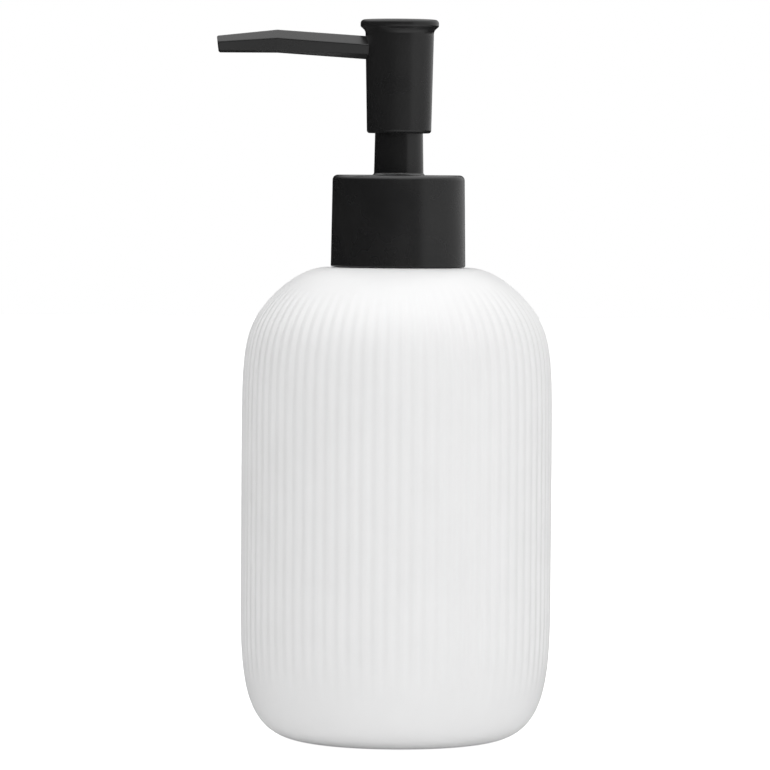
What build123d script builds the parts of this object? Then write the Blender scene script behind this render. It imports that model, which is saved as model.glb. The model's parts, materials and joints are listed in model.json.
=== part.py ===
from build123d import *
from math import sqrt
import os

# Soap pump dispenser. Millimetres, +Z up, origin at the middle of the bottle's flat base.
# The nozzle points along -X.

# ---- Bottle body ----
BODY_R = 38.43
BODY_H = 117.25  # height of the flat shoulder top
FOOT_R = 19.0  # radius of the flat base
FOOT_TOP = 44.5  # where the base's round corner has run out into the side
FOOT_PULL = 11.5  # how far the base's flat keeps its direction into the corner
FOOT_KNEE = (1.1, 2.9)  # the corner's middle control point: out from the side, up from the base
FOOT_RISE = 21.2
SHOULDER_FOOT = 74.5  # where the shoulder starts to draw in
SHOULDER_RISE = 107.5
SHOULDER_KNEE = (-1.0, 17.0)  # out from the side, down from the top
SHOULDER_PULL = 11.4
SHOULDER_R = 17.7  # radius of the flat shoulder top
WALL = 1.3
FLOOR = 1.8
ROOF = 1.5

# ---- Neck finish, 28-410: six threads to the inch, one and a half turns ----
NECK_H = 17.8
NECK_R = 12.55
NECK_BORE_R = 10.9
PITCH = 25.4 / 6
TURNS = 1.5
THREAD_H = 1.1
NECK_THREAD_ROOT = 2.4
NECK_THREAD_CREST = 1.2
CAP_THREAD_ROOT = 2.2
CAP_THREAD_CREST = 1.1
THREAD_GAP = 0.3  # radial, between each crest and the other part's root
FLANK_SHIFT = 0.2  # the tightened cap's thread bears upwards under the neck's thread
THREAD_SINK = 0.3  # how far a thread's root goes into its wall
NECK_THREAD_Z = 6.7  # first turn's middle, above the shoulder

# ---- Heights of the stack that the screw cap clamps on the neck ----
NECK_TOP = BODY_H + NECK_H
SEAT_GAP = 0.05
FLAT_GAP = 0.1  # between flat faces that turn on each other
GASKET_T = 0.95
GASKET_GAP = 0.1  # radial, to the neck's edge and to the pump housing
FLANGE_T = 1.1
WEB_T = 1.0
CHAPLET_FLANGE_T = 0.8
GASKET_Z = NECK_TOP + SEAT_GAP
FLANGE_Z = GASKET_Z + GASKET_T
FLANGE_TOP = FLANGE_Z + FLANGE_T
WEB_Z = FLANGE_TOP + FLAT_GAP
WEB_TOP = WEB_Z + WEB_T
CHAPLET_Z = WEB_TOP + FLAT_GAP
CHAPLET_TOP = CHAPLET_Z + CHAPLET_FLANGE_T

# ---- Screw cap and collar shell ----
COLLAR_Z = 117.45
COLLAR_TOP = 140.1
SHELL_R = 16.65  # at the bottom edge
SHELL_TOP_R = 16.32
SHELL_EDGE_R = 1.3
SHELL_FOOT_EDGE_R = 0.3
SHELL_HOLE_R = 6.6
SHELL_HOLE_EDGE_R = 0.2
SHELL_FIT = 0.02  # radial, between the shell's bore and the cap's ribs
CAP_R = 15.2
CAP_EDGE_R = 0.4
CAP_BORE_R = NECK_R + THREAD_H + THREAD_GAP
CAP_FOOT = 117.95
CAP_RIBS = 48
CAP_RIB_H = 0.15
CAP_RIB_W = 0.8
CAP_RIB_FOOT = 1.0  # above the cap's foot
CAP_RIB_L = 17.3
WEB_HOLE_R = 9.4

# ---- Pump housing ----
FLANGE_R = 12.4
CUP_R = 9.6  # outside of the wide upper part
CUP_BORE_R = 8.3
CUP_Z = 124.6  # bottom of the wide bore
CUP_EDGE_R = 0.8
CUP_TAPER = 3.0  # height of the cone from the wide part down to the tube
CUP_STEP = 0.4  # height of the slope from the wide bore to the pump chamber
BORE_R = 6.5
TUBE_R = 7.7
TUBE_EDGE_R = 1.0
TUBE_FOOT_Z = 91.0
BORE_Z = 90.0  # floor of the pump chamber
HOPPER_R = 4.8  # where the cone under the pump chamber ends
HOPPER_Z = 87.0
BALL_R = 2.5
BALL_WELL_R = 3.3
BALL_WELL_Z = 84.5
INLET_R = 1.9
INLET_Z = 82.6
SOCKET_TOP = 80.0
SOCKET_Z = 70.0
SOCKET_R = 4.3
VENT_R = 0.5
VENT_Z = 123.9

# ---- Dip tube ----
DIP_R = 2.8
DIP_BORE_R = 2.0
DIP_Z = 4.5
DIP_BEVEL = 4.0  # height of the slanted cut at the tube's lower end

# ---- Stem, piston, plug ----
STROKE = 10.0
SLIP = 0.85  # how far the stem moves before it takes the piston along
RUN = 0.07  # radial running clearance
PIN_GAP = 0.05
STEM_R = 4.0
CHANNEL_R = 1.7
SPIGOT_R = 3.0
SPIGOT_Z = 114.0
PISTON_Z = 116.9
PISTON_TOP = 122.4
PISTON_WAIST_R = 5.7
PISTON_RELIEF_R = 3.9
PISTON_LAND = 2.0
PISTON_RELIEF_SLOPE = 0.9
LIP_LAND = 1.5
LIP_SLOPE = 0.6
SHOULDER_Z = PISTON_TOP + SLIP + PIN_GAP
PORT_R = 0.9
PORT_Z = 119.0
PLUG_R = 4.4
PLUG_FLOOR_T = 1.4
PLUG_SHANK_TOP = 117.0
PLUG_LIP = 0.3  # width of the flat round the top of the plug's cone
BOSS_R = 2.9
BOSS_H = 1.8
BOSS_EDGE_R = 0.4

# ---- Spring ----
WIRE_R = 0.4
COIL_R = 3.8
COILS = 10
SPRING_GAP = 0.02
CAGE_R = 6.4
CAGE_T = 1.4
SPRING_Z = BORE_Z + CAGE_T
SPRING_TOP = SPIGOT_Z - PLUG_FLOOR_T

# ---- Ball cage ----
BALL_GAP = 0.02  # between the ball and its seat
BALL_LIFT = 1.2
CAGE_RIBS = 3
CAGE_RIB_L = 2.4
CAGE_RIB_W = 0.9
CAGE_RIB_SINK = 0.2  # how far the ribs go into the cage's plate
CAGE_PORT_R = 0.9
CAGE_PORT_AT = 2.3

# ---- Chaplet ----
SLEEVE_BASE_R = 6.45  # where the sleeve stands in the shell's hole
SLEEVE_BASE_TOP = 140.15
SLEEVE_FLARE = 0.35  # height of the flare from that base to the sleeve
SLEEVE_FOOT_R = 6.12
SLEEVE_TOP_R = 5.9
SLEEVE_TOP = 151.8
SLEEVE_EDGE_R = 0.4
SLEEVE_BORE_R = 4.9
BORE_SLOPE = 0.8  # height of the slopes at both ends of the sleeve's wide bore
GUIDE_L = 3.0
SKIRT_Z = 125.0
SKIRT_BORE_R = 7.1
GUIDE_Z = 133.0
GUIDE_SLOPE = 1.5
CHAPLET_FLANGE_R = 10.6
SNAP_H = 0.15
SNAP_W = 1.0
SNAP_Z = 129.0
SNAP_SLOPE = 0.2
SNAP_PLAY = 0.05

# ---- Pump head ----
HEAD_Z = 150.4
HEAD_R = 7.95  # at the skirt's bottom edge
HEAD_TOP = 178.4
HEAD_WAIST_Z = 174.3
HEAD_WAIST_R = 8.45
RIM_R = 9.68
RIM_T = 1.7
RIM_FLARE = 1.1  # height of the slope under the rim
RIM_FILLET = 1.6
RIM_EDGE_R = 0.95
RIM_CORNER_R = 0.45
SKIRT_EDGE_R = 0.7
DISH_R = 8.0
DISH_DEPTH = 0.5
HEAD_BORE_R = 6.6
CEILING_GAP = 0.4
STEM_TOP = 168.2
HEAD_BOSS_R = 5.3
CORE_TOP = 167.6

# ---- Nozzle ----
SPOUT_Z = 171.9  # axis of the outlet channel
SPOUT_BORE_R = 1.3
PEG_R = 2.2
PEG_L = 7.0
PEG_END = -3.0
SPOUT_ROOT = -7.0  # hidden inside the head's wall before the wall is cut away
SPOUT_REACH = 60.0  # further than the nozzle's tip
SEAM_GAP = 0.02
# section, from head to tip: x, bottom z, top z, half width, roof slope's height and width, lower chamfer
SPOUT_SECTIONS = (
    (SPOUT_ROOT, 168.55, 174.2, 3.8, 2.2, 2.0, 1.3),
    (-30.2, 170.1, 175.7, 3.55, 2.1, 1.9, 0.5),
    (-45.2, 170.05, 174.1, 3.0, 1.5, 1.5, 0.5),
)
SIDE_DRAFT = 0.35  # how much narrower each side is at its foot
TIP_SLANT = 0.7  # how far the tip's lower edge is set back
RIDGE_ROUND = 0.5
TIP_ROUND = 0.4
LONG_EDGE = 10.0  # only the edges that run along the nozzle are longer than this

CUT_OVER = 1.0  # how far a cutting tool runs past the face that it starts from


def lathe(outline, rounds=(), mode=Mode.ADD):
    """Revolve a closed half section, given as (radius, height) corners, about the Z axis.

    rounds is a list of (corner, radius) pairs.
    """
    with BuildSketch(Plane.XZ) as section:
        with BuildLine():
            Polyline(*outline, close=True)
        make_face()
        for corner, radius in rounds:
            nearest = section.vertices().sort_by_distance(Vector(*corner))[0]
            fillet(nearest, radius)
    revolve(section.sketch, axis=Axis.Z, mode=mode)


def drill(radius, bottom, top):
    """Cut a round hole on the Z axis from bottom to top."""
    with BuildSketch(Plane.XY.offset(bottom)) as hole:
        Circle(radius)
    extrude(hole.sketch, amount=top - bottom, mode=Mode.SUBTRACT)


def body_outline(wall, floor, roof):
    """Draw the side of the bottle's body: base corner, straight side and shoulder, set in by a wall."""
    r = BODY_R - wall
    top = BODY_H - roof
    Bezier(
        (FOOT_R, floor),
        (FOOT_R + FOOT_PULL, floor),
        (r + FOOT_KNEE[0], floor + FOOT_KNEE[1]),
        (r, FOOT_RISE),
        (r, FOOT_TOP),
    )
    Line((r, FOOT_TOP), (r, SHOULDER_FOOT))
    Bezier(
        (r, SHOULDER_FOOT),
        (r, SHOULDER_RISE),
        (r + SHOULDER_KNEE[0], top - SHOULDER_KNEE[1]),
        (SHOULDER_R + SHOULDER_PULL, top),
        (SHOULDER_R, top),
    )


def thread(base_r, crest_r, root_w, crest_w, first_z):
    """Sweep one screw thread of TURNS turns from a wall at base_r towards its crest."""
    sink = THREAD_SINK if crest_r < base_r else -THREAD_SINK
    with BuildLine() as path:
        Helix(pitch=PITCH, height=PITCH * TURNS, radius=base_r, center=(0, 0, first_z))
    with BuildSketch(Plane(origin=path.line @ 0, x_dir=(1, 0, 0), z_dir=path.line % 0)) as section:
        with BuildLine():
            Polyline(
                (sink, -root_w / 2),
                (0, -root_w / 2),
                (crest_r - base_r, -crest_w / 2),
                (crest_r - base_r, crest_w / 2),
                (0, root_w / 2),
                (sink, root_w / 2),
                close=True,
            )
        make_face()
    sweep(section.sketch, path=path.line, is_frenet=True)


os.makedirs("parts", exist_ok=True)

# ================================================================ bottle
NECK_FIRST_Z = BODY_H + NECK_THREAD_Z

with BuildPart() as bottle:
    with BuildSketch(Plane.XZ):
        with BuildLine():
            body_outline(0, 0, 0)
            Polyline(
                (SHOULDER_R, BODY_H),
                (NECK_R, BODY_H),
                (NECK_R, NECK_TOP),
                (0, NECK_TOP),
                (0, 0),
                (FOOT_R, 0),
            )
        make_face()
    revolve(axis=Axis.Z)
    thread(NECK_R, NECK_R + THREAD_H, NECK_THREAD_ROOT, NECK_THREAD_CREST, NECK_FIRST_Z)
    with BuildSketch(Plane.XZ):
        with BuildLine():
            body_outline(WALL, FLOOR, ROOF)
            Polyline(
                (SHOULDER_R, BODY_H - ROOF),
                (NECK_BORE_R, BODY_H - ROOF),
                (NECK_BORE_R, NECK_TOP + CUT_OVER),
                (0, NECK_TOP + CUT_OVER),
                (0, FLOOR),
                (FOOT_R, FLOOR),
            )
        make_face()
    revolve(axis=Axis.Z, mode=Mode.SUBTRACT)
bottle.part.label = "bottle"
export_step(bottle.part, "parts/bottle.step")

# ================================================================ neck gasket
with BuildPart() as neck_gasket:
    with BuildSketch(Plane.XY.offset(GASKET_Z)):
        Circle(NECK_R - GASKET_GAP)
        Circle(CUP_R + GASKET_GAP, mode=Mode.SUBTRACT)
    extrude(amount=GASKET_T)
neck_gasket.part.label = "neck_gasket"
export_step(neck_gasket.part, "parts/neck_gasket.step")

# ================================================================ screw cap
with BuildPart() as screw_cap:
    lathe(
        [
            (CAP_BORE_R, CAP_FOOT),
            (CAP_R, CAP_FOOT),
            (CAP_R, WEB_TOP),
            (WEB_HOLE_R, WEB_TOP),
            (WEB_HOLE_R, WEB_Z),
            (CAP_BORE_R, WEB_Z),
        ],
        rounds=[((CAP_R, WEB_TOP), CAP_EDGE_R)],
    )
    # fine grip ribs that key the cap into its shell
    with BuildSketch(Plane.XY.offset(CAP_FOOT + CAP_RIB_FOOT)):
        with PolarLocations(CAP_R, CAP_RIBS):
            Rectangle(2 * CAP_RIB_H, CAP_RIB_W)
    extrude(amount=CAP_RIB_L)
    thread(
        CAP_BORE_R,
        CAP_BORE_R - THREAD_H,
        CAP_THREAD_ROOT,
        CAP_THREAD_CREST,
        NECK_FIRST_Z - PITCH / 2 + FLANK_SHIFT,
    )
screw_cap.part.label = "screw_cap"
export_step(screw_cap.part, "parts/screw_cap.step")

# ================================================================ collar shell
SHELL_BORE_R = CAP_R + CAP_RIB_H + SHELL_FIT
SHELL_CEILING = CHAPLET_TOP + FLAT_GAP

with BuildPart() as collar_shell:
    lathe(
        [
            (SHELL_BORE_R, COLLAR_Z),
            (SHELL_R, COLLAR_Z),
            (SHELL_TOP_R, COLLAR_TOP),
            (SHELL_HOLE_R, COLLAR_TOP),
            (SHELL_HOLE_R, SHELL_CEILING),
            (SHELL_BORE_R, SHELL_CEILING),
        ],
        rounds=[
            ((SHELL_TOP_R, COLLAR_TOP), SHELL_EDGE_R),
            ((SHELL_R, COLLAR_Z), SHELL_FOOT_EDGE_R),
            ((SHELL_HOLE_R, COLLAR_TOP), SHELL_HOLE_EDGE_R),
        ],
    )
collar_shell.part.label = "collar_shell"
export_step(collar_shell.part, "parts/collar_shell.step")

# ================================================================ pump housing
with BuildPart() as pump_housing:
    lathe(
        [
            (0, FLANGE_TOP),
            (FLANGE_R, FLANGE_TOP),
            (FLANGE_R, FLANGE_Z),
            (CUP_R, FLANGE_Z),
            (CUP_R, CUP_Z),
            (TUBE_R, CUP_Z - CUP_TAPER),
            (TUBE_R, TUBE_FOOT_Z),
            (HOPPER_R, HOPPER_Z),
            (SOCKET_R, SOCKET_TOP),
            (SOCKET_R, SOCKET_Z),
            (0, SOCKET_Z),
        ],
        rounds=[((CUP_R, CUP_Z), CUP_EDGE_R), ((TUBE_R, TUBE_FOOT_Z), TUBE_EDGE_R)],
    )
    lathe(
        [
            (0, FLANGE_TOP + CUT_OVER),
            (CUP_BORE_R, FLANGE_TOP + CUT_OVER),
            (CUP_BORE_R, SNAP_Z + SNAP_W + SNAP_SLOPE),
            (CUP_BORE_R + SNAP_H + SNAP_PLAY, SNAP_Z + SNAP_W),
            (CUP_BORE_R + SNAP_H + SNAP_PLAY, SNAP_Z),
            (CUP_BORE_R, SNAP_Z - SNAP_SLOPE),
            (CUP_BORE_R, CUP_Z),
            (BORE_R, CUP_Z - CUP_STEP),
            (BORE_R, BORE_Z),
            (BALL_WELL_R, BORE_Z),
            (BALL_WELL_R, BALL_WELL_Z),
            (INLET_R, INLET_Z),
            (INLET_R, SOCKET_TOP),
            (DIP_R, SOCKET_TOP),
            (DIP_R, SOCKET_Z - CUT_OVER),
            (0, SOCKET_Z - CUT_OVER),
        ],
        mode=Mode.SUBTRACT,
    )
    # vent that lets air into the bottle, above the piston's upper lip
    with BuildSketch(Plane.YZ.offset(BORE_R - CUT_OVER)):
        with Locations((0, VENT_Z)):
            Circle(VENT_R)
    extrude(amount=CUP_R - BORE_R + 2 * CUT_OVER, mode=Mode.SUBTRACT)
pump_housing.part.label = "pump_housing"
export_step(pump_housing.part, "parts/pump_housing.step")

# ================================================================ chaplet
with BuildPart() as chaplet:
    lathe(
        [
            (STEM_R + RUN, GUIDE_Z),
            (SKIRT_BORE_R, GUIDE_Z - GUIDE_SLOPE),
            (SKIRT_BORE_R, SKIRT_Z),
            (CUP_BORE_R, SKIRT_Z),
            (CUP_BORE_R, SNAP_Z),
            (CUP_BORE_R + SNAP_H, SNAP_Z + SNAP_SLOPE),
            (CUP_BORE_R + SNAP_H, SNAP_Z + SNAP_W - SNAP_SLOPE),
            (CUP_BORE_R, SNAP_Z + SNAP_W),
            (CUP_BORE_R, CHAPLET_Z),
            (CHAPLET_FLANGE_R, CHAPLET_Z),
            (CHAPLET_FLANGE_R, CHAPLET_TOP),
            (SLEEVE_BASE_R, CHAPLET_TOP),
            (SLEEVE_BASE_R, SLEEVE_BASE_TOP),
            (SLEEVE_FOOT_R, SLEEVE_BASE_TOP + SLEEVE_FLARE),
            (SLEEVE_TOP_R, SLEEVE_TOP),
            (STEM_R + RUN, SLEEVE_TOP),
            (STEM_R + RUN, SLEEVE_TOP - GUIDE_L),
            (SLEEVE_BORE_R, SLEEVE_TOP - GUIDE_L - BORE_SLOPE),
            (SLEEVE_BORE_R, CHAPLET_TOP + BORE_SLOPE),
            (STEM_R + RUN, CHAPLET_TOP),
        ],
        rounds=[
            ((SLEEVE_TOP_R, SLEEVE_TOP), SLEEVE_EDGE_R),
            ((SLEEVE_FOOT_R, SLEEVE_BASE_TOP + SLEEVE_FLARE), SLEEVE_EDGE_R),
        ],
    )
chaplet.part.label = "chaplet"
export_step(chaplet.part, "parts/chaplet.step")

# ================================================================ dip tube
with BuildPart() as dip_tube:
    with BuildSketch(Plane.XY.offset(DIP_Z)):
        Circle(DIP_R)
        Circle(DIP_BORE_R, mode=Mode.SUBTRACT)
    extrude(amount=SOCKET_TOP - DIP_Z)
    # slanted cut that keeps the open end off the bottle's floor
    with BuildSketch(Plane.XZ):
        with BuildLine():
            Polyline(
                (-DIP_R, DIP_Z - CUT_OVER),
                (DIP_R, DIP_Z - CUT_OVER),
                (DIP_R, DIP_Z + DIP_BEVEL),
                (-DIP_R, DIP_Z),
                close=True,
            )
        make_face()
    extrude(amount=DIP_R + CUT_OVER, both=True, mode=Mode.SUBTRACT)
dip_tube.part.label = "dip_tube"
export_step(dip_tube.part, "parts/dip_tube.step")

# ================================================================ inlet ball
# the ball rests on the cone between the inlet and its well
CONE_RISE = BALL_WELL_Z - INLET_Z
CONE_RUN = BALL_WELL_R - INLET_R
CONE_SIN = CONE_RUN / sqrt(CONE_RISE**2 + CONE_RUN**2)
CONE_TIP = INLET_Z - INLET_R * CONE_RISE / CONE_RUN
BALL_Z = CONE_TIP + (BALL_R + BALL_GAP) / CONE_SIN

with BuildPart(Plane.XY.offset(BALL_Z)) as inlet_ball:
    Sphere(BALL_R)
inlet_ball.part.label = "inlet_ball"
export_step(inlet_ball.part, "parts/inlet_ball.step")

# ================================================================ ball cage
CAGE_RIB_Z = BALL_Z + BALL_R + BALL_LIFT + FLAT_GAP

with BuildPart() as ball_cage:
    with BuildSketch(Plane.XY.offset(BORE_Z)):
        Circle(CAGE_R)
        with PolarLocations(CAGE_PORT_AT, CAGE_RIBS, start_angle=180 / CAGE_RIBS):
            Circle(CAGE_PORT_R, mode=Mode.SUBTRACT)
    extrude(amount=CAGE_T)
    with BuildSketch(Plane.XY.offset(CAGE_RIB_Z)):
        with PolarLocations(CAGE_RIB_L / 2, CAGE_RIBS):
            Rectangle(CAGE_RIB_L, CAGE_RIB_W)
    extrude(amount=BORE_Z - CAGE_RIB_Z + CAGE_RIB_SINK)
ball_cage.part.label = "ball_cage"
export_step(ball_cage.part, "parts/ball_cage.step")

# ================================================================ return spring
SPRING_PITCH = (SPRING_TOP - SPRING_Z - 2 * (WIRE_R + SPRING_GAP)) / COILS

with BuildPart() as return_spring:
    with BuildLine() as coil:
        Helix(
            pitch=SPRING_PITCH,
            height=SPRING_PITCH * COILS,
            radius=COIL_R,
            center=(0, 0, SPRING_Z + WIRE_R + SPRING_GAP),
        )
    with BuildSketch(Plane(origin=coil.line @ 0, z_dir=coil.line % 0)):
        Circle(WIRE_R)
    sweep(path=coil.line, is_frenet=True)
return_spring.part.label = "return_spring"
export_step(return_spring.part, "parts/return_spring.step")

# ================================================================ piston
with BuildPart() as piston:
    lathe(
        [
            (PISTON_RELIEF_R, PISTON_Z),
            (BORE_R - RUN, PISTON_Z),
            (BORE_R - RUN, PISTON_Z + LIP_LAND),
            (PISTON_WAIST_R, PISTON_Z + LIP_LAND + LIP_SLOPE),
            (PISTON_WAIST_R, PISTON_TOP - LIP_LAND - LIP_SLOPE),
            (BORE_R - RUN, PISTON_TOP - LIP_LAND),
            (BORE_R - RUN, PISTON_TOP),
            (SPIGOT_R + RUN, PISTON_TOP),
            (SPIGOT_R + RUN, PISTON_TOP - PISTON_LAND),
            (PISTON_RELIEF_R, PISTON_TOP - PISTON_LAND - PISTON_RELIEF_SLOPE),
        ]
    )
piston.part.label = "piston"
export_step(piston.part, "parts/piston.step")

# ================================================================ pump stem
with BuildPart() as pump_stem:
    lathe(
        [
            (CHANNEL_R, SPIGOT_Z),
            (SPIGOT_R, SPIGOT_Z),
            (SPIGOT_R, SHOULDER_Z),
            (STEM_R, SHOULDER_Z),
            (STEM_R, STEM_TOP),
            (CHANNEL_R, STEM_TOP),
        ]
    )
    # ports that let soap into the stem once the plug has left the piston
    with BuildSketch(Plane.XZ):
        with Locations((0, PORT_Z)):
            Circle(PORT_R)
    extrude(amount=SPIGOT_R + CUT_OVER, both=True, mode=Mode.SUBTRACT)
pump_stem.part.label = "pump_stem"
export_step(pump_stem.part, "parts/pump_stem.step")

# ================================================================ stem plug
# its 45 degree cone meets the lower rim of the piston's bore, PIN_GAP clear of it at rest
SEAT_SUM = PISTON_RELIEF_R + PISTON_Z - PIN_GAP
SEAT_INNER_R = SPIGOT_R + PLUG_LIP

with BuildPart() as stem_plug:
    lathe(
        [
            (0, SPRING_TOP - BOSS_H),
            (BOSS_R, SPRING_TOP - BOSS_H),
            (BOSS_R, SPRING_TOP),
            (PLUG_R, SPRING_TOP),
            (PLUG_R, SEAT_SUM - PLUG_R),
            (SEAT_INNER_R, SEAT_SUM - SEAT_INNER_R),
            (SPIGOT_R, SEAT_SUM - SEAT_INNER_R),
            (SPIGOT_R, SPIGOT_Z),
            (CHANNEL_R, SPIGOT_Z),
            (CHANNEL_R, PLUG_SHANK_TOP),
            (0, PLUG_SHANK_TOP),
        ],
        rounds=[((BOSS_R, SPRING_TOP - BOSS_H), BOSS_EDGE_R)],
    )
stem_plug.part.label = "stem_plug"
export_step(stem_plug.part, "parts/stem_plug.step")

# ================================================================ pump head
CEILING = SLEEVE_TOP + STROKE + CEILING_GAP
RIM_Z = HEAD_TOP - RIM_T
DISH_SPHERE_R = (DISH_R**2 + DISH_DEPTH**2) / (2 * DISH_DEPTH)

with BuildPart() as pump_head:
    lathe(
        [
            (0, HEAD_Z),
            (HEAD_R, HEAD_Z),
            (HEAD_WAIST_R, HEAD_WAIST_Z),
            (HEAD_WAIST_R, RIM_Z - RIM_FLARE),
            (RIM_R, RIM_Z),
            (RIM_R, HEAD_TOP),
            (0, HEAD_TOP),
        ],
        rounds=[
            ((HEAD_R, HEAD_Z), SKIRT_EDGE_R),
            ((HEAD_WAIST_R, RIM_Z - RIM_FLARE), RIM_FILLET),
            ((RIM_R, RIM_Z), RIM_CORNER_R),
            ((RIM_R, HEAD_TOP), RIM_EDGE_R),
        ],
    )
    # shallow dish in the top, part of a large sphere
    with Locations((0, 0, HEAD_TOP - DISH_DEPTH + DISH_SPHERE_R)):
        Sphere(DISH_SPHERE_R, mode=Mode.SUBTRACT)
    # room for the sleeve, up to the ceiling that the full stroke needs
    drill(HEAD_BORE_R, HEAD_Z - CUT_OVER, CEILING)
    with BuildSketch(Plane.XY.offset(CEILING - CUT_OVER)):
        Circle(HEAD_BORE_R)
        Circle(HEAD_BOSS_R, mode=Mode.SUBTRACT)
    extrude(amount=CORE_TOP - CEILING + CUT_OVER, mode=Mode.SUBTRACT)
    drill(STEM_R, CEILING - CUT_OVER, STEM_TOP)
    drill(CHANNEL_R, STEM_TOP - CUT_OVER, SPOUT_Z)
    # hole for the nozzle's peg, and the channel from it to the middle
    with BuildSketch(Plane.YZ.offset(PEG_END)):
        with Locations((0, SPOUT_Z)):
            Circle(PEG_R)
    extrude(amount=-(RIM_R + PEG_END), mode=Mode.SUBTRACT)
    with BuildSketch(Plane.YZ.offset(PEG_END - CUT_OVER)):
        with Locations((0, SPOUT_Z)):
            Circle(CHANNEL_R)
    extrude(amount=CUT_OVER - PEG_END, mode=Mode.SUBTRACT)
pump_head.part.label = "pump_head"
export_step(pump_head.part, "parts/pump_head.step")


# ================================================================ nozzle
def spout_section(x, low, high, half, roof_h, roof_w, chamfer):
    """Draw one eight-sided section of the nozzle: sloped roof sides, drafted sides, chamfered bottom."""
    foot = half - SIDE_DRAFT
    with BuildSketch(Plane.YZ.offset(x)) as section:
        with BuildLine():
            Polyline(
                (chamfer - foot, low),
                (foot - chamfer, low),
                (foot, low + chamfer),
                (half, high - roof_h),
                (half - roof_w, high),
                (roof_w - half, high),
                (-half, high - roof_h),
                (-foot, low + chamfer),
                close=True,
            )
        make_face()
    return section.sketch


TIP_X, TIP_LOW, TIP_HIGH, TIP_HALF = SPOUT_SECTIONS[-1][:4]

with BuildPart() as nozzle:
    for near, far in zip(SPOUT_SECTIONS, SPOUT_SECTIONS[1:]):
        loft([spout_section(*near), spout_section(*far)], ruled=True)
    long_edges = [edge for edge in nozzle.edges() if edge.length > LONG_EDGE]
    fillet(long_edges, RIDGE_ROUND)
    # slanted end face
    with BuildSketch(Plane.XZ):
        with BuildLine():
            Polyline(
                (TIP_X - CUT_OVER, TIP_LOW - CUT_OVER),
                (TIP_X + TIP_SLANT, TIP_LOW - CUT_OVER),
                (TIP_X, TIP_HIGH + CUT_OVER),
                (TIP_X - CUT_OVER, TIP_HIGH + CUT_OVER),
                close=True,
            )
        make_face()
    extrude(amount=TIP_HALF + CUT_OVER, both=True, mode=Mode.SUBTRACT)
    end_face = nozzle.faces().sort_by(Axis.X)[0]
    fillet(end_face.edges().sort_by(Axis.Z)[1:], TIP_ROUND)
    # the root follows the head's tapered wall
    lathe(
        [
            (0, HEAD_Z),
            (HEAD_R + SEAM_GAP, HEAD_Z),
            (HEAD_WAIST_R + SEAM_GAP, HEAD_WAIST_Z),
            (HEAD_WAIST_R + SEAM_GAP, HEAD_TOP),
            (0, HEAD_TOP),
        ],
        mode=Mode.SUBTRACT,
    )
    # peg that plugs into the head
    with BuildSketch(Plane.YZ.offset(PEG_END)):
        with Locations((0, SPOUT_Z)):
            Circle(PEG_R)
    extrude(amount=-PEG_L)
    with BuildSketch(Plane.YZ.offset(PEG_END + CUT_OVER)):
        with Locations((0, SPOUT_Z)):
            Circle(SPOUT_BORE_R)
    extrude(amount=-SPOUT_REACH, mode=Mode.SUBTRACT)
nozzle.part.label = "nozzle"
export_step(nozzle.part, "parts/nozzle.step")
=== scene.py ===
import json
import math

import bmesh
import bpy
from mathutils import Matrix, Vector


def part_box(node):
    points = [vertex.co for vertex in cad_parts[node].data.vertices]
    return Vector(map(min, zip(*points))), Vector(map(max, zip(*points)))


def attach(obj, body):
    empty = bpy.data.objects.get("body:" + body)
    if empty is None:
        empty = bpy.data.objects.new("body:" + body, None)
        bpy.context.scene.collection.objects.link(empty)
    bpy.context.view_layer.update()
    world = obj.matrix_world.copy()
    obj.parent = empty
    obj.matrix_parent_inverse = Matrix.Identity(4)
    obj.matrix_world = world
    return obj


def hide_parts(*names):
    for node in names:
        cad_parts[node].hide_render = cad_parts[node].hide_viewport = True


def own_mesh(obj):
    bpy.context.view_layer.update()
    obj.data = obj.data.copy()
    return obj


MM = 0.001
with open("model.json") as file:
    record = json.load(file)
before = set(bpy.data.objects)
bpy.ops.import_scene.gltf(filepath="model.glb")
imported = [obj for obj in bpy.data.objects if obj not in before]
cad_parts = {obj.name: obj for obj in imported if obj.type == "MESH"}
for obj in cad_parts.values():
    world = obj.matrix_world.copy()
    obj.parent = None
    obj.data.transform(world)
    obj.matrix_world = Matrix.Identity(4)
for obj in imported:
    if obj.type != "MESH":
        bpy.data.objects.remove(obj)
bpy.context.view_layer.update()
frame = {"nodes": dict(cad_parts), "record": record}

# ---------------------------------------------------------------- sizes, in millimetres
# Bottle body: the same outline as the CAD bottle
BODY_R = 38.43
BODY_H = 117.25
FOOT = [(19.0, 0.0), (30.5, 0.0), (39.53, 2.9), (38.43, 21.2), (38.43, 44.5)]
SHOULDER = [(38.43, 74.5), (38.43, 107.5), (37.43, 100.25), (29.1, 117.25), (17.7, 117.25)]
FOOT_ROWS = 36
SIDE_ROWS = 6
SHOULDER_ROWS = 52
# Underside: a shallow push-up inside the flat standing ring, as insets from the ring's edge and heights
UNDERSIDE = [(0.6, 0.0), (1.6, 0.0), (2.0, 0.06), (2.8, 0.65), (3.5, 0.82), (11.0, 0.9)]
# Inside of the bottle: the outline moved in by the wall, down by the roof and up by the floor
WALL = 1.3
FLOOR = 1.8
FLOOR_SPAN = (10, 45)  # heights between which the floor's thickness fades into the wall
FLOOR_RING_R = 8.0
ROOF = 1.5
ROOF_SPAN = (60, 110)
INNER_FOOT_ROWS = 18
INNER_SHOULDER_ROWS = 24
# Reeds round the side, which fade out towards the base and the shoulder
REEDS = 78
REED_COLUMNS = 10  # mesh columns across one reed
REED_DEPTH = 0.3
REED_SHARPNESS = 1.2  # above 1 the valleys between the reeds are narrower than the reeds
REED_FADE_LOW = (10, 29)
REED_FADE_HIGH = (101.5, 115.0)
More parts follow.
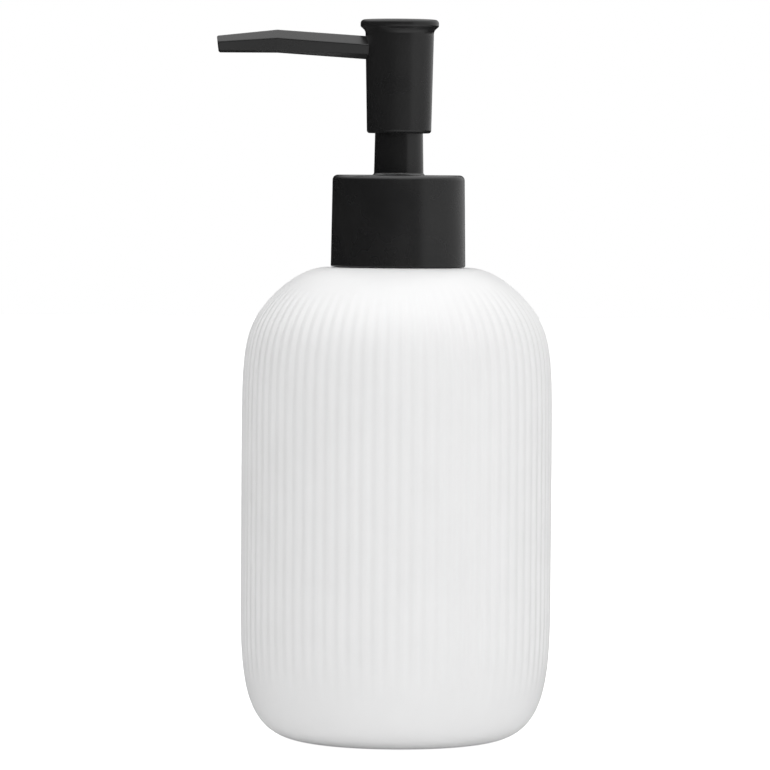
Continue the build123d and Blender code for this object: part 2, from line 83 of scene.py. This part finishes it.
# Neck finish
NECK_COLUMNS = 156
NECK_FLAT_R = 16.9  # innermost ring of the shoulder's flat top before the neck's fillet
NECK_R = 12.55
NECK_BORE_R = 10.9
NECK_TOP = 135.05
ROOT_FILLET = 0.45
RIM_FILLET = 0.4
FILLET_MIDDLE = 0.12  # how far the middle of these small fillets stays from the corner
BORE_CHAMFER = 0.3
BORE_END = 0.7  # height of the bore's end under the shoulder's top
BORE_FLARE = 0.8
PITCH = 25.4 / 6
THREAD_TURNS = 1.5
THREAD_H = 1.1
THREAD_ROOT = 2.4
THREAD_CREST = 1.2
THREAD_Z = 123.95
THREAD_RUN = 0.06  # share of a turn over which an end of the thread rises
THREAD_MARGIN = 0.3
THREAD_ROWS = 70
# Spring
SPRING_LOW, SPRING_HIGH = (corner.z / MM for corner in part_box("return_spring"))
WIRE_R = 0.4
COIL_R = 3.8
SPRING_COILS = 10
CLOSED_COILS = 1.0
CLOSED_PITCH = 1.05  # in wire thicknesses
COIL_COLUMNS = 40
WIRE_SIDES = 12
# Edges sharper than this stay sharp, in degrees
SHARP_EDGE = 35.0
SHARP_WIRE_EDGE = 50.0

# ---------------------------------------------------------------- studio, in metres
# Brightness of the room and floor to matt surfaces and to the camera
ROOM_GLOW = 0.385
FLOOR_GLOW = 0.135
FLOOR_GLOW_SEEN = 0.8
FLOOR_HALF = 4.0
# Brightness in reflections: a painted pool of light on the floor, which glows to glossy rays only, a dim
# painted glow on the rest of the floor, and in the world a wall on the right and a ceiling, with soft edges
PATCH_AT = (0.5, -0.7, 0.0)
PATCH_EDGE = (0.6, 0.95)
PAINTED_PATCH_REFLECTION = 0.85
PAINTED_FLOOR_REFLECTION = 0.03
DARK_GLOSS = 0.01
WALL_TOWARDS = (0.976, 0.216, 0.0)
WALL_EDGE = (0.41, 0.51)
WALL_GLOSS = 0.67
CEILING_EDGE = (0.25, 0.9)
CEILING_GLOSS = 2.1
# Soft panels, which light matt surfaces only: name, place, aim, size and power in watts
PANELS = [
    ("side_panel", (1.22, -0.44, 0.35), (0, 0, 0.12), (1.9, 1.5), 3.3),
    ("key_panel", (0.6, -1.04, 0.75), (0, 0, 0.1), (1.0, 0.9), 2.6),
    ("front_panel", (-0.2, -1.0, 1.3), (0, 0, 0.1), (1.2, 0.9), 3.3),
    ("top_panel", (-0.14, -0.08, 1.4), (0, 0, 0.1), (1.3, 1.3), 10.8),
]
# Camera: a long lens level with the collar's top
CAMERA_DISTANCE = 1.25
CAMERA_EYE = 0.1375
CAMERA_ASIDE = -0.003
CAMERA_PITCH = 2.261  # degrees down
CAMERA_ROLL = 0.42
LENS_MM = 236.3
SENSOR_MM = 36.0


# ---------------------------------------------------------------- mesh helpers
class Shell:
    """A mesh grown ring by ring; each ring is a list of vertex numbers."""

    def __init__(self):
        self.verts = []
        self.faces = []

    def ring(self, points):
        start = len(self.verts)
        self.verts.extend(points)
        return list(range(start, start + len(points)))

    def bridge(self, a, b):
        n = len(a)
        for i in range(n):
            j = (i + 1) % n
            self.faces.append((a[i], a[j], b[j], b[i]))

    def step(self, coarse, fine):
        """Join a ring to one with a whole number of times as many points."""
        n = len(coarse)
        ratio = len(fine) // n
        for i in range(n):
            arc = [fine[(i * ratio + k) % len(fine)] for k in range(ratio + 1)]
            self.faces.append((coarse[(i + 1) % n], coarse[i], *arc))

    def cap(self, ring, centre):
        middle = self.ring([centre])[0]
        for i in range(len(ring)):
            self.faces.append((ring[i], ring[(i + 1) % len(ring)], middle))

    def make(self, name, material, sharp_deg=SHARP_EDGE):
        mesh = bpy.data.meshes.new(name)
        mesh.from_pydata([Vector(v) * MM for v in self.verts], [], self.faces)
        bm = bmesh.new()
        bm.from_mesh(mesh)
        bmesh.ops.recalc_face_normals(bm, faces=bm.faces)
        for edge in bm.edges:
            edge.smooth = edge.calc_face_angle(0.0) < math.radians(sharp_deg)
        for face in bm.faces:
            face.smooth = True
        bm.to_mesh(mesh)
        bm.free()
        mesh.materials.append(material)
        obj = bpy.data.objects.new(name, mesh)
        bpy.context.scene.collection.objects.link(obj)
        return obj


def circle(radius, z, columns):
    angles = [2 * math.pi * i / columns for i in range(columns)]
    return [(radius * math.cos(angle), radius * math.sin(angle), z) for angle in angles]


def bezier(points, t):
    """Point on a Bezier curve of any order."""
    points = [Vector(p) for p in points]
    while len(points) > 1:
        points = [a.lerp(b, t) for a, b in zip(points, points[1:])]
    return points[0]


def smoothstep(low, high, value):
    """0 below the span, 1 above it, and a smooth rise between."""
    t = min(1.0, max(0.0, (value - low) / (high - low)))
    return t * t * (3 - 2 * t)


# ---------------------------------------------------------------- materials
# Noise scales are in cells a metre
CLOUD_SCALE = 90.0
STREAK_SCALE = 2500.0
SPECK_SCALE = 40.0
NOISE_RANGE = (0.3, 0.7)
GLOSS_DRIFT = (-0.03, 0.04)
STEEL_COLOUR = (0.62, 0.61, 0.59, 1)
STEEL_ROUGHNESS = (0.2, 0.38)
PAPER_COLOUR = (0.93, 0.93, 0.93, 1)
PAPER_ROUGHNESS = (0.75, 0.85)
PAPER_SPECULAR = 0.1
SUBSURFACE_DEPTH_MM = 1.2


def material(name):
    mat = bpy.data.materials.new(name)
    mat.use_nodes = True
    nodes = mat.node_tree.nodes
    return mat, nodes, mat.node_tree.links, nodes["Principled BSDF"]


def noise(nodes, links, coords, scale, detail=3.0, roughness=0.5):
    node = nodes.new("ShaderNodeTexNoise")
    node.inputs["Scale"].default_value = scale
    node.inputs["Detail"].default_value = detail
    node.inputs["Roughness"].default_value = roughness
    links.new(coords, node.inputs["Vector"])
    return node.outputs["Fac"]


def remap(nodes, links, value, low, high):
    """Spread a noise, which stays mostly in the middle of its range, over the span from low to high."""
    node = nodes.new("ShaderNodeMapRange")
    node.inputs["From Min"].default_value, node.inputs["From Max"].default_value = NOISE_RANGE
    node.inputs["To Min"].default_value = low
    node.inputs["To Max"].default_value = high
    links.new(value, node.inputs["Value"])
    return node.outputs["Result"]


def plastic(name, dark, light, roughness, grain_mm, grain_depth, specular=0.5, subsurface=0.0):
    """Moulded plastic: a slight drift of colour and gloss, and the fine grain of a spark-eroded mould."""
    mat, nodes, links, shader = material(name)
    coords = nodes.new("ShaderNodeTexCoord").outputs["Object"]
    cloudy = noise(nodes, links, coords, CLOUD_SCALE)
    grain = noise(nodes, links, coords, 1000.0 / grain_mm, detail=2.0, roughness=0.6)
    colour = nodes.new("ShaderNodeMix")
    colour.data_type = "RGBA"
    colour.inputs["A"].default_value = (*dark, 1)
    colour.inputs["B"].default_value = (*light, 1)
    links.new(remap(nodes, links, cloudy, 0.0, 1.0), colour.inputs["Factor"])
    links.new(colour.outputs["Result"], shader.inputs["Base Color"])
    smoothest, roughest = (roughness + drift for drift in GLOSS_DRIFT)
    links.new(remap(nodes, links, cloudy, smoothest, roughest), shader.inputs["Roughness"])
    bump = nodes.new("ShaderNodeBump")
    bump.inputs["Strength"].default_value = 1.0
    bump.inputs["Distance"].default_value = grain_depth * MM
    links.new(grain, bump.inputs["Height"])
    links.new(bump.outputs["Normal"], shader.inputs["Normal"])
    shader.inputs["Specular IOR Level"].default_value = specular
    if subsurface:
        shader.inputs["Subsurface Weight"].default_value = subsurface
        shader.inputs["Subsurface Radius"].default_value = (1.0, 1.0, 1.0)
        shader.inputs["Subsurface Scale"].default_value = SUBSURFACE_DEPTH_MM * MM
    return mat


def steel(name):
    """Drawn stainless steel with fine streaks round the wire."""
    mat, nodes, links, shader = material(name)
    coords = nodes.new("ShaderNodeTexCoord").outputs["Object"]
    streaks = noise(nodes, links, coords, STREAK_SCALE)
    shader.inputs["Base Color"].default_value = STEEL_COLOUR
    shader.inputs["Metallic"].default_value = 1.0
    links.new(remap(nodes, links, streaks, *STEEL_ROUGHNESS), shader.inputs["Roughness"])
    return mat


# Grain sizes and depths in millimetres
WHITE = plastic(
    "bottle_white",
    dark=(0.836, 0.836, 0.837),
    light=(0.852, 0.852, 0.853),
    roughness=0.46,
    grain_mm=0.35,
    grain_depth=0.004,
)
BLACK = plastic(
    "pump_black",
    dark=(0.0115, 0.0115, 0.0117),
    light=(0.0135, 0.0135, 0.0137),
    roughness=0.27,
    grain_mm=0.25,
    grain_depth=0.002,
)
CAP = plastic(
    "cap_black",
    dark=(0.012, 0.012, 0.012),
    light=(0.016, 0.016, 0.016),
    roughness=0.45,
    grain_mm=0.4,
    grain_depth=0.006,
)
NATURAL = plastic(
    "pump_natural",
    dark=(0.76, 0.765, 0.75),
    light=(0.80, 0.80, 0.785),
    roughness=0.33,
    grain_mm=0.5,
    grain_depth=0.003,
    subsurface=0.3,
)
SEAL = plastic(
    "seal_white",
    dark=(0.80, 0.80, 0.78),
    light=(0.85, 0.85, 0.83),
    roughness=0.55,
    grain_mm=0.3,
    grain_depth=0.008,
    specular=0.4,
)
STEEL = steel("steel")
FINISHES = {
    "bottle_white": WHITE,
    "pump_black": BLACK,
    "cap_black": CAP,
    "pump_natural": NATURAL,
    "seal_white": SEAL,
    "steel": STEEL,
}


def finish_cad_nodes():
    """Give every CAD node the material of its slot in the record."""
    for part in frame["record"]["subparts"]:
        node = frame["nodes"][part["node"]]
        node.data.materials.clear()
        node.data.materials.append(FINISHES[part["material_slot"]])


# ---------------------------------------------------------------- bottle
def reed_valley(share):
    """0 on the crest of a reed, 1 in the valley between two."""
    return ((1 - math.cos(2 * math.pi * share)) / 2) ** REED_SHARPNESS


def side_rows():
    """The body's side from the base's edge to the shoulder's flat.

    Each row is a radius, a height, the outward normal and the depth of the reeds there.
    """
    foot_top, shoulder_foot = FOOT[-1][1], SHOULDER[0][1]
    line = [bezier(FOOT, t / FOOT_ROWS) for t in range(FOOT_ROWS + 1)]
    for t in range(1, SIDE_ROWS):
        line.append(Vector((BODY_R, foot_top + (shoulder_foot - foot_top) * t / SIDE_ROWS)))
    line += [bezier(SHOULDER, t / SHOULDER_ROWS) for t in range(SHOULDER_ROWS + 1)]
    rows = []
    for i, point in enumerate(line):
        along = line[min(i + 1, len(line) - 1)] - line[max(i - 1, 0)]
        along.normalize()
        depth = REED_DEPTH * smoothstep(*REED_FADE_LOW, point.y) * (1 - smoothstep(*REED_FADE_HIGH, point.y))
        rows.append((point.x, point.y, Vector((along.y, -along.x)), depth))
    return rows


def reeded_ring(radius, z, normal, depth):
    columns = REEDS * REED_COLUMNS
    points = []
    for i in range(columns):
        inset = depth * reed_valley((i % REED_COLUMNS) / REED_COLUMNS)
        r = radius - normal.x * inset
        angle = 2 * math.pi * i / columns
        points.append((r * math.cos(angle), r * math.sin(angle), z - normal.y * inset))
    return points


def thread_height(z, angle):
    """How far the neck's thread stands out at a height and angle: a trapezoid along one and a half turns."""
    best = 0.0
    for turn in range(2):
        travel = angle / (2 * math.pi) + turn
        run_in = smoothstep(0.0, THREAD_RUN, travel)
        run_out = 1 - smoothstep(THREAD_TURNS - THREAD_RUN, THREAD_TURNS, travel)
        off = abs(z - THREAD_Z - PITCH * travel)
        flank = (THREAD_ROOT / 2 - off) / (THREAD_ROOT / 2 - THREAD_CREST / 2)
        best = max(best, THREAD_H * min(1.0, max(0.0, flank)) * run_in * run_out)
    return best


def neck_ring(z):
    points = []
    for i in range(NECK_COLUMNS):
        angle = 2 * math.pi * i / NECK_COLUMNS
        r = NECK_R + thread_height(z, angle)
        points.append((r * math.cos(angle), r * math.sin(angle), z))
    return points


def neck_outside():
    """Rings from the shoulder's flat top, up the threaded neck and over its rim."""
    low = THREAD_Z - THREAD_ROOT / 2 - THREAD_MARGIN
    high = THREAD_Z + PITCH * THREAD_TURNS + THREAD_ROOT / 2 + THREAD_MARGIN
    root = [
        (NECK_FLAT_R, BODY_H),
        (NECK_R + ROOT_FILLET, BODY_H),
        (NECK_R + FILLET_MIDDLE, BODY_H + FILLET_MIDDLE),
        (NECK_R, BODY_H + ROOT_FILLET),
    ]
    rim = [
        (NECK_R, NECK_TOP - RIM_FILLET),
        (NECK_R - FILLET_MIDDLE, NECK_TOP - FILLET_MIDDLE),
        (NECK_R - RIM_FILLET, NECK_TOP),
        (NECK_BORE_R + BORE_CHAMFER, NECK_TOP),
    ]
    rings = [circle(r, z, NECK_COLUMNS) for r, z in root]
    rings += [neck_ring(low + (high - low) * k / THREAD_ROWS) for k in range(THREAD_ROWS + 1)]
    rings += [circle(r, z, NECK_COLUMNS) for r, z in rim]
    return rings


def inside():
    """Rings down the neck's bore and the inner wall to the floor."""
    line = [
        (NECK_BORE_R, NECK_TOP - BORE_CHAMFER),
        (NECK_BORE_R, BODY_H - BORE_END),
        (NECK_BORE_R + BORE_FLARE, BODY_H - ROOF),
    ]
    for t in range(INNER_SHOULDER_ROWS + 1):
        p = bezier(SHOULDER, 1 - t / INNER_SHOULDER_ROWS)
        line.append((p.x - WALL, min(p.y, BODY_H) - ROOF * smoothstep(*ROOF_SPAN, p.y)))
    for t in range(INNER_FOOT_ROWS + 1):
        p = bezier(FOOT, 1 - t / INNER_FOOT_ROWS)
        line.append((p.x - WALL, p.y + FLOOR * (1 - smoothstep(*FLOOR_SPAN, p.y))))
    line.append((FLOOR_RING_R, FLOOR))
    return [circle(r, z, NECK_COLUMNS) for r, z in line]


def make_bottle():
    """The bottle as one closed shell: underside, reeded side, neck and inside."""
    shell = Shell()
    underside = [shell.ring(circle(FOOT[0][0] - inset, z, NECK_COLUMNS)) for inset, z in UNDERSIDE]
    side = [shell.ring(reeded_ring(*row)) for row in side_rows()]
    neck = [shell.ring(points) for points in neck_outside() + inside()]
    for rings in (underside, side, neck):
        for a, b in zip(rings, rings[1:]):
            shell.bridge(a, b)
    shell.step(underside[0], side[0])
    shell.step(neck[0], side[-1])
    shell.cap(underside[-1], (0, 0, UNDERSIDE[-1][1]))
    shell.cap(neck[-1], (0, 0, FLOOR))
    bottle = shell.make("reeded_bottle", WHITE)
    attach(bottle, "bottle")
    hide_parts("bottle")


# ---------------------------------------------------------------- spring
def spring_height(turn):
    """Height of the wire's middle after some turns: nearly closed end coils, even coils between."""
    low = SPRING_LOW + WIRE_R
    high = SPRING_HIGH - WIRE_R
    closed_rise = 2 * WIRE_R * CLOSED_PITCH * CLOSED_COILS
    free_turns = SPRING_COILS - 2 * CLOSED_COILS
    free_rise = (high - low - 2 * closed_rise) / free_turns
    if turn <= CLOSED_COILS:
        return low + closed_rise * turn / CLOSED_COILS
    if turn >= SPRING_COILS - CLOSED_COILS:
        return high - closed_rise * (SPRING_COILS - turn) / CLOSED_COILS
    return low + closed_rise + free_rise * (turn - CLOSED_COILS)


def make_spring():
    """The spring's wire as a tube, attached to the spring's top."""
    shell = Shell()
    rings = []
    for k in range(COIL_COLUMNS * SPRING_COILS + 1):
        turn = k / COIL_COLUMNS
        angle = 2 * math.pi * turn
        outward = Vector((math.cos(angle), math.sin(angle), 0))
        middle = outward * COIL_R + Vector((0, 0, spring_height(turn)))
        points = []
        for side in range(WIRE_SIDES):
            around = 2 * math.pi * side / WIRE_SIDES
            up = Vector((0, 0, WIRE_R * math.sin(around)))
            points.append(middle + outward * (WIRE_R * math.cos(around)) + up)
        rings.append(shell.ring(points))
    for a, b in zip(rings, rings[1:]):
        shell.bridge(a, b)
    shell.faces.append(tuple(rings[0]))
    shell.faces.append(tuple(rings[-1]))
    spring = shell.make("coil_spring", STEEL, SHARP_WIRE_EDGE)
    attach(spring, "spring_top")
    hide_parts("return_spring")
    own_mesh(spring)


# ---------------------------------------------------------------- stage
def area_light(name, at, aim, size, power):
    data = bpy.data.lights.new(name, "AREA")
    data.shape = "RECTANGLE"
    data.size, data.size_y = size
    data.energy = power
    light = bpy.data.objects.new(name, data)
    light.location = at
    light.rotation_euler = (Vector(aim) - Vector(at)).to_track_quat("-Z", "Y").to_euler()
    light.visible_glossy = False
    bpy.context.scene.collection.objects.link(light)
    return light


def ramp(nodes, links, value, across, levels):
    """A smooth change from one level to another while the value goes across a span."""
    node = nodes.new("ShaderNodeMapRange")
    node.interpolation_type = "SMOOTHSTEP"
    node.inputs["From Min"].default_value, node.inputs["From Max"].default_value = across
    node.inputs["To Min"].default_value, node.inputs["To Max"].default_value = levels
    links.new(value, node.inputs["Value"])
    return node.outputs["Result"]


def make_floor():
    """White paper, with some glow of its own, and a painted pool of light that only reflections see."""
    mat, nodes, links, shader = material("floor_white")
    coords = nodes.new("ShaderNodeTexCoord").outputs["Object"]
    speck = noise(nodes, links, coords, SPECK_SCALE)
    links.new(remap(nodes, links, speck, *PAPER_ROUGHNESS), shader.inputs["Roughness"])
    shader.inputs["Base Color"].default_value = PAPER_COLOUR
    shader.inputs["Specular IOR Level"].default_value = PAPER_SPECULAR
    path = nodes.new("ShaderNodeLightPath")
    seen = nodes.new("ShaderNodeMapRange")
    seen.inputs["To Min"].default_value = FLOOR_GLOW
    seen.inputs["To Max"].default_value = FLOOR_GLOW_SEEN
    links.new(path.outputs["Is Camera Ray"], seen.inputs["Value"])
    shader.inputs["Emission Color"].default_value = (1, 1, 1, 1)
    links.new(seen.outputs["Result"], shader.inputs["Emission Strength"])
    # painted reflection: glossy rays see the floor as a glow, a painted pool of light in front of the object
    # and a dim painted floor elsewhere
    away = nodes.new("ShaderNodeVectorMath")
    away.operation = "DISTANCE"
    away.inputs[1].default_value = PATCH_AT
    links.new(coords, away.inputs[0])
    # painted reflection: the glow is bright in the patch and fades to the dim painted floor further out
    painted_patch = ramp(nodes, links, away.outputs["Value"], PATCH_EDGE, (PAINTED_PATCH_REFLECTION, PAINTED_FLOOR_REFLECTION))
    mirrored = nodes.new("ShaderNodeEmission")
    links.new(painted_patch, mirrored.inputs["Strength"])
    either = nodes.new("ShaderNodeMixShader")
    links.new(path.outputs["Is Glossy Ray"], either.inputs["Fac"])
    links.new(shader.outputs["BSDF"], either.inputs[1])
    links.new(mirrored.outputs["Emission"], either.inputs[2])
    links.new(either.outputs["Shader"], nodes["Material Output"].inputs["Surface"])
    mesh = bpy.data.meshes.new("floor")
    corners = [(-1, -1), (1, -1), (1, 1), (-1, 1)]
    mesh.from_pydata([(FLOOR_HALF * x, FLOOR_HALF * y, 0) for x, y in corners], [], [(0, 1, 2, 3)])
    mesh.materials.append(mat)
    floor = bpy.data.objects.new("floor", mesh)
    bpy.context.scene.collection.objects.link(floor)


def make_world():
    """White to the camera and a dim room to matt surfaces.

    Reflections see a lit wall on the right and a ceiling.
    """
    world = bpy.data.worlds.new("studio")
    world.use_nodes = True
    bpy.context.scene.world = world
    nodes, links = world.node_tree.nodes, world.node_tree.links
    background = nodes["Background"]
    background.inputs["Color"].default_value = (1, 1, 1, 1)
    coords = nodes.new("ShaderNodeTexCoord").outputs["Generated"]
    towards = nodes.new("ShaderNodeVectorMath")
    towards.operation = "DOT_PRODUCT"
    towards.inputs[1].default_value = WALL_TOWARDS
    links.new(coords, towards.inputs[0])
    height = nodes.new("ShaderNodeSeparateXYZ")
    links.new(coords, height.inputs["Vector"])
    wall = ramp(nodes, links, towards.outputs["Value"], WALL_EDGE, (DARK_GLOSS, WALL_GLOSS))
    ceiling = ramp(nodes, links, height.outputs["Z"], CEILING_EDGE, (DARK_GLOSS, CEILING_GLOSS))
    mirrored = nodes.new("ShaderNodeMath")
    mirrored.operation = "MAXIMUM"
    links.new(wall, mirrored.inputs[0])
    links.new(ceiling, mirrored.inputs[1])
    path = nodes.new("ShaderNodeLightPath")
    level = nodes.new("ShaderNodeMix")
    level.inputs["A"].default_value = ROOM_GLOW
    links.new(path.outputs["Is Glossy Ray"], level.inputs["Factor"])
    links.new(mirrored.outputs["Value"], level.inputs["B"])
    seen = nodes.new("ShaderNodeMath")
    seen.operation = "MAXIMUM"
    links.new(level.outputs["Result"], seen.inputs[0])
    links.new(path.outputs["Is Camera Ray"], seen.inputs[1])
    links.new(seen.outputs["Value"], background.inputs["Strength"])


def make_camera():
    """At the photograph's angle, pitched down to frame the whole dispenser."""
    data = bpy.data.cameras.new("camera")
    data.lens = LENS_MM
    data.sensor_width = SENSOR_MM
    camera = bpy.data.objects.new("camera", data)
    camera.location = (CAMERA_ASIDE, -CAMERA_DISTANCE, CAMERA_EYE)
    tilt = Matrix.Rotation(math.radians(90) - math.radians(CAMERA_PITCH), 4, "X")
    roll = Matrix.Rotation(math.radians(CAMERA_ROLL), 4, "Z")
    camera.rotation_euler = (tilt @ roll).to_euler()
    bpy.context.scene.collection.objects.link(camera)
    bpy.context.scene.camera = camera


def make_studio():
    make_floor()
    make_world()
    make_camera()
    for panel in PANELS:
        area_light(*panel)
    bpy.context.scene.view_settings.view_transform = "Standard"


finish_cad_nodes()
make_bottle()
make_spring()
make_studio()
